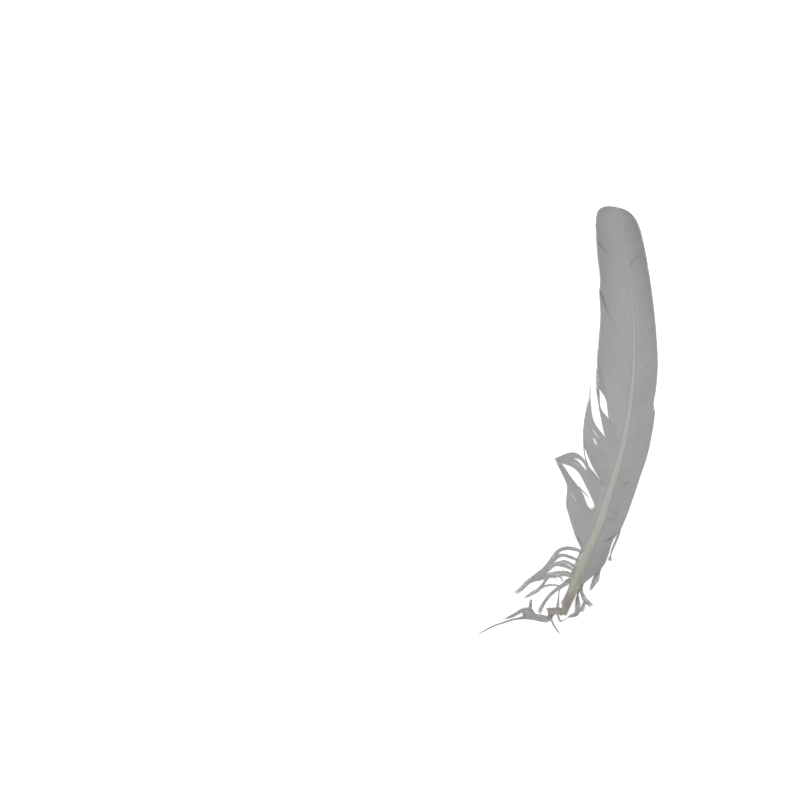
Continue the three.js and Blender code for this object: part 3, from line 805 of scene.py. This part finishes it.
def horn_finish(settings):
    """Smooth horn, pale and greenish on the ridged shaft and brown towards the torn end."""
    finish = Finish("horn")
    place = finish.object_place()
    height = finish.heights(place)
    base = finish.turned(height, HORN_TO_TIP, opaque(settings.horn_colour),
                         opaque(settings.tip_colour))
    clouds = finish.noise(place, 130.0)

    def wandering(value, distance):
        step = finish.ranged(clouds, 0.2, 0.8, -distance * MM, distance * MM)
        return finish.calculated("ADD", value, step)

    along = wandering(height, COLOUR_WANDER)
    base = finish.turned(along, BARREL_TO_HORN, opaque(settings.barrel_colour), base)
    base = finish.turned(along, END_TO_BARREL, opaque(settings.end_colour), base)
    for spot, radius, strength, colour in STAINS:
        middle = [part * MM for part in spot]
        away = finish.add("ShaderNodeVectorMath", {0: place, 1: middle},
                          operation="DISTANCE").outputs["Value"]
        stain = finish.ranged(wandering(away, STAIN_WANDER), STAIN_CORE * radius * MM,
                              radius * MM, strength, 0.0)
        base = finish.mixed(stain, base, opaque(getattr(settings, colour)))
    fibres = finish.noise(finish.stretched(place, (9000.0, 180.0, 9000.0)), 0.12, detail=4.0)
    tone = finish.varied(finish.attribute("tone"), fibres, 0.035)
    finish.set(Base_Color=finish.scaled(base, tone), Roughness=0.42,
               Specular_IOR_Level=0.4, Coat_Weight=0.05, Coat_Roughness=0.3)
    finish.bump(fibres, 0.00002)
    return finish.material


def floor_finish(settings):
    """A plain pale table top that glows, so that it hardly takes a shadow."""
    finish = Finish("table_top")
    finish.set(Base_Color=opaque(settings.floor_colour), Roughness=1.0,
               Specular_IOR_Level=0.0, Emission_Color=opaque(settings.floor_colour),
               Emission_Strength=settings.floor_glow)
    return finish.material


# ---------------------------------------------------------------------- shaft


def shaft_mesh(settings):
    """The quill and the ridged shaft: a long rod that is open and hollow at its torn end."""
    bm = rod(SHAFT_SIDES, SHAFT_RINGS)
    end = max(bm.faces, key=lambda face: face.calc_center_median().z)
    end_half_width = SHAFT_STATIONS[0][2]
    wall = settings.wall / MM / end_half_width
    bmesh.ops.inset_region(bm, faces=[end], thickness=wall, use_even_offset=False)
    length = SHAFT_STATIONS[-1][1] - SHAFT_STATIONS[0][1]
    depth = settings.hollow / MM / length
    for part in HOLLOW_STEPS:
        end = bmesh.ops.extrude_discrete_faces(bm, faces=[end])["faces"][0]
        bmesh.ops.translate(bm, verts=end.verts, vec=(0, 0, -depth * part))
    return keep_mesh(bm, "shaft_template")


def shaft_batch(settings, rng):
    """The shaft's rod, bent along the stations, with its ridges, groove and torn rim."""
    template = shaft_mesh(settings)
    shape = corners(template)
    angle = np.arctan2(shape[:, 1], shape[:, 0])
    radius = np.hypot(shape[:, 0], shape[:, 1])
    start, end = SHAFT_STATIONS[0][1], SHAFT_STATIONS[-1][1]
    torn = sum(rng.uniform(*TORN_HEIGHTS) * np.sin(turns * angle + rng.uniform(0, math.tau))
               for turns in TORN_WAVES) * settings.raggedness / MM
    y = start + (end - start) * (0.5 - shape[:, 2])
    y = y + torn * np.clip(1 - (y - start) / TORN_REACH, 0, 1)
    x, half_width, half_depth, lift = shaft_at(y)
    ridged = smooth(y, BARREL_END, RIDGED_FROM)
    squared = 1 - SQUARENESS * ridged
    sideways = np.sign(np.cos(angle)) * np.abs(np.cos(angle)) ** squared
    upwards = np.sign(np.sin(angle)) * np.abs(np.sin(angle)) ** squared
    below = (angle + math.pi / 2) / GROOVE_SPREAD
    groove = GROOVE_DEPTH * ridged * np.exp(-below ** 2)
    wobble = 1 + drifts(rng, y, [WOBBLE])
    places = np.stack([x + half_width * radius * sideways * wobble, y,
                       lift + half_depth * (1 + radius * (upwards + groove))], axis=1)
    places[:, 2] = np.maximum(places[:, 2], 0)
    # Painted light on the shaft's +X side and painted shade on its -X side.
    painted_flank_light = 1 + (BARREL_PAINTED_FLANK_LIGHT + RIDGED_PAINTED_FLANK_LIGHT * ridged) * np.cos(angle)
    # Painted shade on the inner faces of the hollow end.
    painted_hollow_shade = np.where(radius < HOLLOW_WITHIN, HOLLOW_PAINTED_SHADE, 1.0)
    grain = np.stack([angle, y], axis=1)
    return Batch(template, places[None], (painted_flank_light * painted_hollow_shade)[None], grain[None])


def flap_batch(settings, rng):
    """The torn flap, a curled strip with ragged edges."""
    bm = bmesh.new()
    bmesh.ops.create_grid(bm, x_segments=FLAP_GRID[0], y_segments=FLAP_GRID[1], size=0.5)
    bmesh.ops.solidify(bm, geom=bm.faces[:], thickness=TEMPLATE_WALL)
    sort_faces(bm)
    bmesh.ops.recalc_face_normals(bm, faces=bm.faces[:])
    template = keep_mesh(bm, "flap_template")
    shape = corners(template)
    out = 0.5 - shape[:, 0]
    to_edge = 2 * np.abs(shape[:, 1])
    ragged = settings.raggedness / MM
    edge = drifts(rng, shape[:, 0] * FLAP_LENGTH, [FLAP_EDGE]) * ragged
    end_edge = drifts(rng, shape[:, 1] * FLAP_WIDTH, [FLAP_END]) * ragged
    slant = FLAP_SLANT * (0.5 - shape[:, 1]) * out
    x = FLAP_CENTRE[0] + FLAP_LENGTH * shape[:, 0] + slant
    x = x + end_edge * smooth(out, FLAP_END_FROM, 1)
    y = FLAP_CENTRE[1] + (FLAP_WIDTH + FLAP_FLARE * out) * shape[:, 1] + edge * to_edge
    wall = np.sign(shape[:, 2] - shape[:, 2].mean()) * settings.wall / MM / 2
    curl = FLAP_CURL * out ** 2 + FLAP_CUP * to_edge ** 2
    z = FLAP_HEIGHT + curl + wall + drifts(rng, shape[:, 0] * FLAP_LENGTH, [FLAP_WAVE])
    rim = FLAP_TONE - FLAP_RIM_SHADE * smooth(to_edge, FLAP_RIM_FROM, 1)
    return Batch(template, np.stack([x, y, z], axis=1)[None], rim[None],
                 np.stack([y, x], axis=1)[None])


# ---------------------------------------------------------------------- vanes


def sheet_point(lock, root_y, along):
    """Places on the sheet that a lock's guides span: from the shaft at root_y, and then
    along the barb there."""
    roots = np.array([guide[0] for guide in lock.guides])
    entry = np.clip(np.searchsorted(-roots, -root_y) - 1, 0, len(roots) - 2)
    row = entry + (root_y - roots[entry]) / (roots[entry + 1] - roots[entry])
    x, half_width, half_depth, lift = shaft_at(root_y)
    root = np.stack([x + lock.side * half_width * ROOT_INSIDE, root_y], axis=1)
    lines = [spline([guide[point] for guide in lock.guides], row) for point in (1, 2, 3)]
    flat = spline(np.stack([root, *lines]), along * 3)
    raised = ROOT_HEIGHT + (TIP_ROOT_HEIGHT - ROOT_HEIGHT) * smooth(root_y, *ROOTS_RISE)
    height = lift + half_depth * (1 + raised) - SHEET_HALF_THICKNESS
    return flat, np.maximum(height, SHEET_HALF_THICKNESS)


def spread(lock, root_y, along):
    """How far apart two barbs are there whose roots are a millimetre apart."""
    step = 0.05
    ahead, back = (sheet_point(lock, root_y, along + way)[0] for way in (step, -step))
    upper, lower = (sheet_point(lock, root_y + way, along)[0] for way in (step, -step))
    barb = (ahead - back) / np.linalg.norm(ahead - back, axis=1)[:, None]
    apart = (upper - lower) / (2 * step)
    return np.abs(apart[:, 0] * barb[:, 1] - apart[:, 1] * barb[:, 0])


def parted(lock, parting, middle, along):
    """How far a parting moves and lifts each place, and how much painted shade it puts there, by
    its barb's middle.
    """
    root_y, start, end, opening, step, painted_crease_shade = parting
    stretch = spread(lock, np.full(along.size, root_y), along.ravel()).reshape(along.shape)
    stretch = np.maximum(stretch, LEAST_SPREAD)
    away = (middle - root_y) * stretch
    if end < 1:
        part = np.clip((along - start) / (end - start), 0, 1)
        window = np.sin(math.pi * part) ** PARTING_ROUNDNESS
    else:
        window = smooth(along, start, start + (1 - start) * PARTING_OPENS)
    side = np.where(middle >= root_y, 1, -1)
    near = np.exp(-np.abs(away) / PARTING_REACH)
    close = np.exp(-(away / CREASE_REACH) ** 2)
    return (window * side * near * opening / 2 / stretch, window * side * close * step / 2,
            window * close * painted_crease_shade)


def outer_painted_shades(tone, middle, place):
    """The outer vane's tone with its painted shades, for barbs by their middle and places on
    them.
    """
    start, full = TIP_SHADED
    towards_tip = np.clip((middle - start) / (full - start), 0, 1) ** TIP_SHADE_POWER
    tone = tone * (1 - TIP_PAINTED_SHADE * towards_tip * smooth(place, *TIP_MARGIN))
    tone = tone * (1 - FOOT_PAINTED_SHADE * smooth(middle, *FOOT_SHADED))
    lower = smooth(middle, *ROOT_SHADED) * (1 - smooth(middle, *ROOT_SHADE_ENDS))
    return tone * (1 - SHAFT_PAINTED_SHADOW * lower * (1 - smooth(place, *ROOT_SHADE_WIDTH)))


def barb_batch(lock, settings, rng):
    """All the barbs of a lock, each a narrow ridged blade from the shaft to the margin."""
    template = keep_mesh(rod(4, BARB_RINGS), "barb_template")
    shape = corners(template)
    first, last = lock.guides[0][0], lock.guides[-1][0]
    spacing = settings.spacing / MM
    count = int(abs(first - last) / spacing)
    half = spacing / 2
    middle = np.linspace(first - half, last + half, count)[:, None]
    along = np.broadcast_to(shape[:, 2] + 0.5, (count, len(shape)))
    across = lock.side * shape[:, 0]
    upwards = shape[:, 1]

    shorter = np.abs(drifts(rng, middle, [SHORTENING]))
    place = along * (1 - shorter - rng.uniform(0, RAGGEDNESS, middle.shape))
    ends = [sheet_point(lock, middle.ravel(), np.full(count, end))[0] for end in (0, 1)]
    length = np.linalg.norm(ends[1] - ends[0], axis=1)[:, None]
    narrowed = np.clip((1 - along) * length / BARB_TIP, BARB_TIP_WIDTH, 1)
    row = np.broadcast_to(middle, place.shape)
    gathered = np.minimum(spread(lock, row.ravel(), place.ravel()), 1).reshape(place.shape)
    clump = drifts(rng, middle, CLUMPS)
    move = (clump + rng.normal(0, STRAYING, middle.shape)) * place ** 2
    step = np.zeros_like(place)
    painted_crease_shade = np.zeros_like(place)
    for parting in lock.partings:
        moved, lifted, painted_shade = parted(lock, parting, middle, place)
        move, step, painted_crease_shade = move + moved, step + lifted, painted_crease_shade + painted_shade
    root_y = middle + across * half * settings.overlap * narrowed + move

    flat, height = sheet_point(lock, root_y.ravel(), place.ravel())
    flat = flat.reshape(count, -1, 2)
    height = height.reshape(count, -1)
    margin = settings.margin_height / MM
    fall = place ** DROOP * np.minimum(length / FALL_LENGTH, 1)
    ripple = settings.ripple / MM * drifts(rng, middle, RIPPLES)
    z = height * (1 - fall) + margin * fall + ripple * place * (RIPPLE_END - place)
    z = z + (settings.relief / MM * upwards * narrowed + SHINGLE * across) * gathered + step
    places = np.concatenate([flat, np.maximum(z, LOWEST)[:, :, None]], axis=2)

    # Painted shade where the barbs of a parting overlap.
    tone = np.interp(place, TONE_PLACES, lock.tones) * (1 - painted_crease_shade)
    # Painted shade on the outer vane at its tip's margin and foot, and the shaft's painted
    # shadow beside it.
    if lock.side > 0:
        tone = outer_painted_shades(tone, middle, place)
    tone = tone * (1 + rng.normal(0, TONE_SCATTER, middle.shape)
                   + drifts(rng, middle, TONE_DRIFTS))
    grain = np.stack([root_y, place * length.mean() * BARB_BEND], axis=2)
    return Batch(template, places, tone, grain)


# --------------------------------------------------------- loose barbs, down


def strand_lift(x, y):
    """Height of a strand's underside: clear of the table by the quill, and on it further out."""
    shaft_x, half_width, _, _ = shaft_at(y)
    away = np.maximum(0, np.abs(x - shaft_x) - half_width)
    return STRAND_HEIGHT * np.maximum(0, 1 - away / STRAND_REACH) ** 2


def bundle_frame(bundle, place, fullness):
    """The middle, the direction and the half width of a bundle at places on it."""
    bundle = np.array(bundle)
    step = 0.02
    centre = spline(bundle[:, :2], place)
    ahead = spline(bundle[:, :2], place + step) - spline(bundle[:, :2], place - step)
    ahead = ahead / np.linalg.norm(ahead, axis=1)[:, None]
    half = np.interp(place, np.arange(len(bundle)), bundle[:, 2]) * fullness
    return centre, ahead, half


def fibre_batch(bundles, settings, rng, tone=1.0):
    """The long fibres of each bundle, side by side, that wander and end one after another."""
    template = keep_mesh(rod(3, FIBRE_RINGS), "fibre_template")
    shape = corners(template)
    along = shape[:, 2] + 0.5
    radius = settings.fibre_radius / MM
    places, tones, grains = [], [], []
    for bundle in bundles:
        widest = max(point[2] for point in bundle)
        spacing = settings.fibre_spacing / MM
        count = max(FEWEST_FIBRES, round(2 * widest * settings.fullness / spacing))
        for offset in np.linspace(-1, 1, count):
            start = rng.uniform(0, FIBRE_ROOTS)
            end = 1 - FIBRE_ENDS * rng.uniform(0, 1) ** 2 * (count > FEWEST_FIBRES)
            place = (start + (end - start) * along) * (len(bundle) - 1)
            centre, ahead, half = bundle_frame(bundle, place, settings.fullness)
            sideways = np.stack([-ahead[:, 1], ahead[:, 0]], axis=1)
            wander = sum(width * drift(rng, along * turns, WANDER_STEP)
                         for width, turns in FIBRE_WANDERS)
            shift = np.clip(offset + wander, -1, 1) * np.maximum(half - radius, 0)
            thin = radius * np.clip((1 - along) * FIBRE_TAPER, FIBRE_TIP, 1)
            flat = centre + sideways * (shift + thin * shape[:, 0])[:, None]
            room = 2 * np.minimum(half, STRAND_HALF_DEPTH) * BUNDLE_ROOM
            height, turns, step = LAYER_WANDER
            layer = LAYER_MIDDLE + height * drift(rng, along * turns, step)
            layer = np.clip(layer + rng.uniform(-LAYER_SCATTER, LAYER_SCATTER), 0, 1)
            z = strand_lift(centre[:, 0], centre[:, 1]) + radius + room * layer
            z = np.maximum(z + thin * shape[:, 1], LOWEST)
            places.append(np.column_stack([flat, z]))
            tones.append(np.full(len(shape), tone * rng.normal(1, FIBRE_TONES)))
            grains.append(np.stack([shift, along * FIBRE_GRAIN], axis=1))
    return Batch(template, np.array(places), np.array(tones), np.array(grains))


def barbule_batch(bundles, settings, rng):
    """The short fine hairs that stand off each bundle to both sides and mat it together."""
    template = keep_mesh(rod(3, 2), "barbule_template")
    shape = corners(template)
    along = shape[:, 2] + 0.5
    radius = settings.barbule_radius / MM
    places = []
    for bundle in bundles:
        points = np.array(bundle)
        length = np.linalg.norm(np.diff(points[:, :2], axis=0), axis=1).sum()
        count = int(length * settings.barbules * (BARBULE_CROWD + points[:, 2].mean()))
        place = rng.uniform(0, 1, count) * (len(bundle) - 1)
        centre, ahead, half = bundle_frame(bundle, place, settings.fullness)
        side = np.where(rng.uniform(0, 1, count) < 0.5, -1, 1)
        turn = side * np.radians(rng.uniform(*BARBULE_TURN, count))
        offset = side * rng.uniform(*BARBULE_ROOT, count) * half
        sideways = np.stack([-ahead[:, 1], ahead[:, 0]], axis=1)
        start = centre + sideways * offset[:, None]
        heading = np.stack([ahead[:, 0] * np.cos(turn) - ahead[:, 1] * np.sin(turn),
                            ahead[:, 0] * np.sin(turn) + ahead[:, 1] * np.cos(turn)], axis=1)
        square = np.stack([-heading[:, 1], heading[:, 0]], axis=1)
        reach = settings.barbule_length / MM * rng.uniform(*BARBULE_REACH, count)
        reach = reach * np.clip(SHORT_BARBULES + half, 0, 1)
        bend = rng.uniform(*BARBULE_BEND, count) * reach
        low = strand_lift(start[:, 0], start[:, 1])
        depth = 2 * np.minimum(half, STRAND_HALF_DEPTH)
        rise = rng.uniform(*BARBULE_RISE, count) * depth
        for i in range(count):
            out = along[:, None] * reach[i]
            bow = (np.sin(math.pi * along) * bend[i] + radius * shape[:, 0])[:, None]
            flat = start[i] + heading[i] * out + square[i] * bow
            z = low[i] + rise[i] * (1 - BARBULE_SINKS * along) + radius * (1 + shape[:, 1])
            places.append(np.column_stack([flat, np.maximum(z, LOWEST)]))
    tones = rng.normal(1, BARBULE_TONES, (len(places), 1)) * np.ones(len(shape))
    grain = np.stack([shape[:, 0], along], axis=1)
    return Batch(template, np.array(places), tones,
                 np.broadcast_to(grain, (len(places), *grain.shape)))


def make_tuft(tuft, settings, material):
    """One piece of down or loose barbs: the fibres of its bundles, and the hairs on them."""
    rng = np.random.default_rng(tuft.seed)
    batches = [fibre_batch(tuft.bundles, settings, rng, tuft.tone),
               barbule_batch(tuft.bundles, settings, rng)]
    return grow(tuft.node, batches, material)


# ------------------------------------------------------------------ operators


class MakeShaft(Operator):
    """Make the quill and the ridged shaft with its torn end"""

    bl_idname = "quill.make_shaft"
    bl_label = "Shaft"

    def execute(self, context):
        settings = context.scene.quill_shaft
        rng = np.random.default_rng(SHAFT_SEED)
        batches = [shaft_batch(settings, rng), flap_batch(settings, rng)]
        grow("shaft", batches, horn_finish(settings))
        return {"FINISHED"}


class MakeVanes(Operator):
    """Make the outer vane, the inner vane and the locks split from it, barb by barb"""

    bl_idname = "quill.make_vanes"
    bl_label = "Vanes"

    def execute(self, context):
        settings = context.scene.quill_vanes
        material = barb_finish(settings)
        for lock in LOCKS:
            rng = np.random.default_rng(lock.seed)
            batches = [barb_batch(lock, settings, rng)]
            if lock.node == BROKEN_BARBS.node:
                batches.append(barb_batch(BROKEN_BARBS, settings, rng))
            if lock.strays:
                batches.append(fibre_batch(lock.strays, context.scene.quill_down, rng,
                                           STRAY_PAINTED_LIGHT))
            grow(lock.node, batches, material, flat=True)
        return {"FINISHED"}


class MakeLooseBarbs(Operator):
    """Make the loose barbs off the outer vane's margin and at its foot"""

    bl_idname = "quill.make_loose_barbs"
    bl_label = "Loose barbs"

    def execute(self, context):
        settings = context.scene.quill_down
        material = down_finish(settings)
        margin, foot = LOOSE_BARBS
        make_tuft(margin, settings, material)
        make_tuft(foot, settings, material)
        return {"FINISHED"}


class MakeDown(Operator):
    """Make the downy barbs on both sides of the quill"""

    bl_idname = "quill.make_down"
    bl_label = "Down"

    def execute(self, context):
        settings = context.scene.quill_down
        material = down_finish(settings)
        for tuft in DOWN_TUFTS:
            make_tuft(tuft, settings, material)
        return {"FINISHED"}


class MakeStage(Operator):
    """Make the table top, the soft light and the camera straight above"""

    bl_idname = "quill.make_stage"
    bl_label = "Stage"

    def execute(self, context):
        settings = context.scene.quill_stage
        scene = context.scene
        bm = bmesh.new()
        bmesh.ops.create_grid(bm, x_segments=1, y_segments=1, size=settings.floor_size / 2)
        mesh = keep_mesh(bm, "table_top")
        mesh.materials.append(floor_finish(settings))
        floor = bpy.data.objects.new("table_top", mesh)
        scene.collection.objects.link(floor)

        lamp = bpy.data.lights.new("soft_box", "AREA")
        lamp.energy = settings.lamp_power
        lamp.size = settings.lamp_size
        lamp_object = bpy.data.objects.new("soft_box", lamp)
        lamp_object.location = LAMP_PLACE
        aim = Vector((settings.view_x / 2, 0, 0)) - lamp_object.location
        lamp_object.rotation_euler = aim.to_track_quat("-Z", "Y").to_euler()
        scene.collection.objects.link(lamp_object)

        world = bpy.data.worlds.new("light_all_round")
        world.use_nodes = True
        background = world.node_tree.nodes["Background"]
        background.inputs["Color"].default_value = (1, 1, 1, 1)
        background.inputs["Strength"].default_value = settings.sky
        scene.world = world

        camera = bpy.data.cameras.new("camera")
        camera.lens = settings.lens
        camera.sensor_width = SENSOR_WIDTH
        camera_object = bpy.data.objects.new("camera", camera)
        distance = settings.view_width * camera.lens / camera.sensor_width
        camera_object.location = (settings.view_x, settings.view_y, distance)
        scene.collection.objects.link(camera_object)
        scene.camera = camera_object
        scene.view_settings.view_transform = "Standard"
        return {"FINISHED"}


class QuillPanel(Panel):
    bl_idname = "VIEW3D_PT_quill"
    bl_label = "Goose Wing Quill"
    bl_space_type = "VIEW_3D"
    bl_region_type = "UI"
    bl_category = "Quill"

    def draw(self, context):
        parts = (("quill_shaft", MakeShaft), ("quill_vanes", MakeVanes),
                 ("quill_down", MakeLooseBarbs), ("quill_down", MakeDown),
                 ("quill_stage", MakeStage))
        shown = set()
        for name, operator in parts:
            box = self.layout.box()
            box.operator(operator.bl_idname)
            if name not in shown:
                settings = getattr(context.scene, name)
                for setting in settings.__annotations__:
                    box.prop(settings, setting)
            shown.add(name)


SETTINGS = {
    "quill_shaft": QuillShaftSettings,
    "quill_vanes": QuillVaneSettings,
    "quill_down": QuillDownSettings,
    "quill_stage": QuillStageSettings,
}
OPERATORS = (MakeShaft, MakeVanes, MakeLooseBarbs, MakeDown, MakeStage)


def register():
    for group in (*SETTINGS.values(), *OPERATORS, QuillPanel):
        bpy.utils.register_class(group)
    for name, group in SETTINGS.items():
        setattr(bpy.types.Scene, name, PointerProperty(type=group))


def unregister():
    for name in SETTINGS:
        delattr(bpy.types.Scene, name)
    for group in (QuillPanel, *OPERATORS[::-1], *SETTINGS.values()):
        bpy.utils.unregister_class(group)


def main():
    register()
    bpy.ops.quill.make_shaft()
    bpy.ops.quill.make_vanes()
    bpy.ops.quill.make_loose_barbs()
    bpy.ops.quill.make_down()
    bpy.ops.quill.make_stage()


if __name__ == "__main__":
    main()
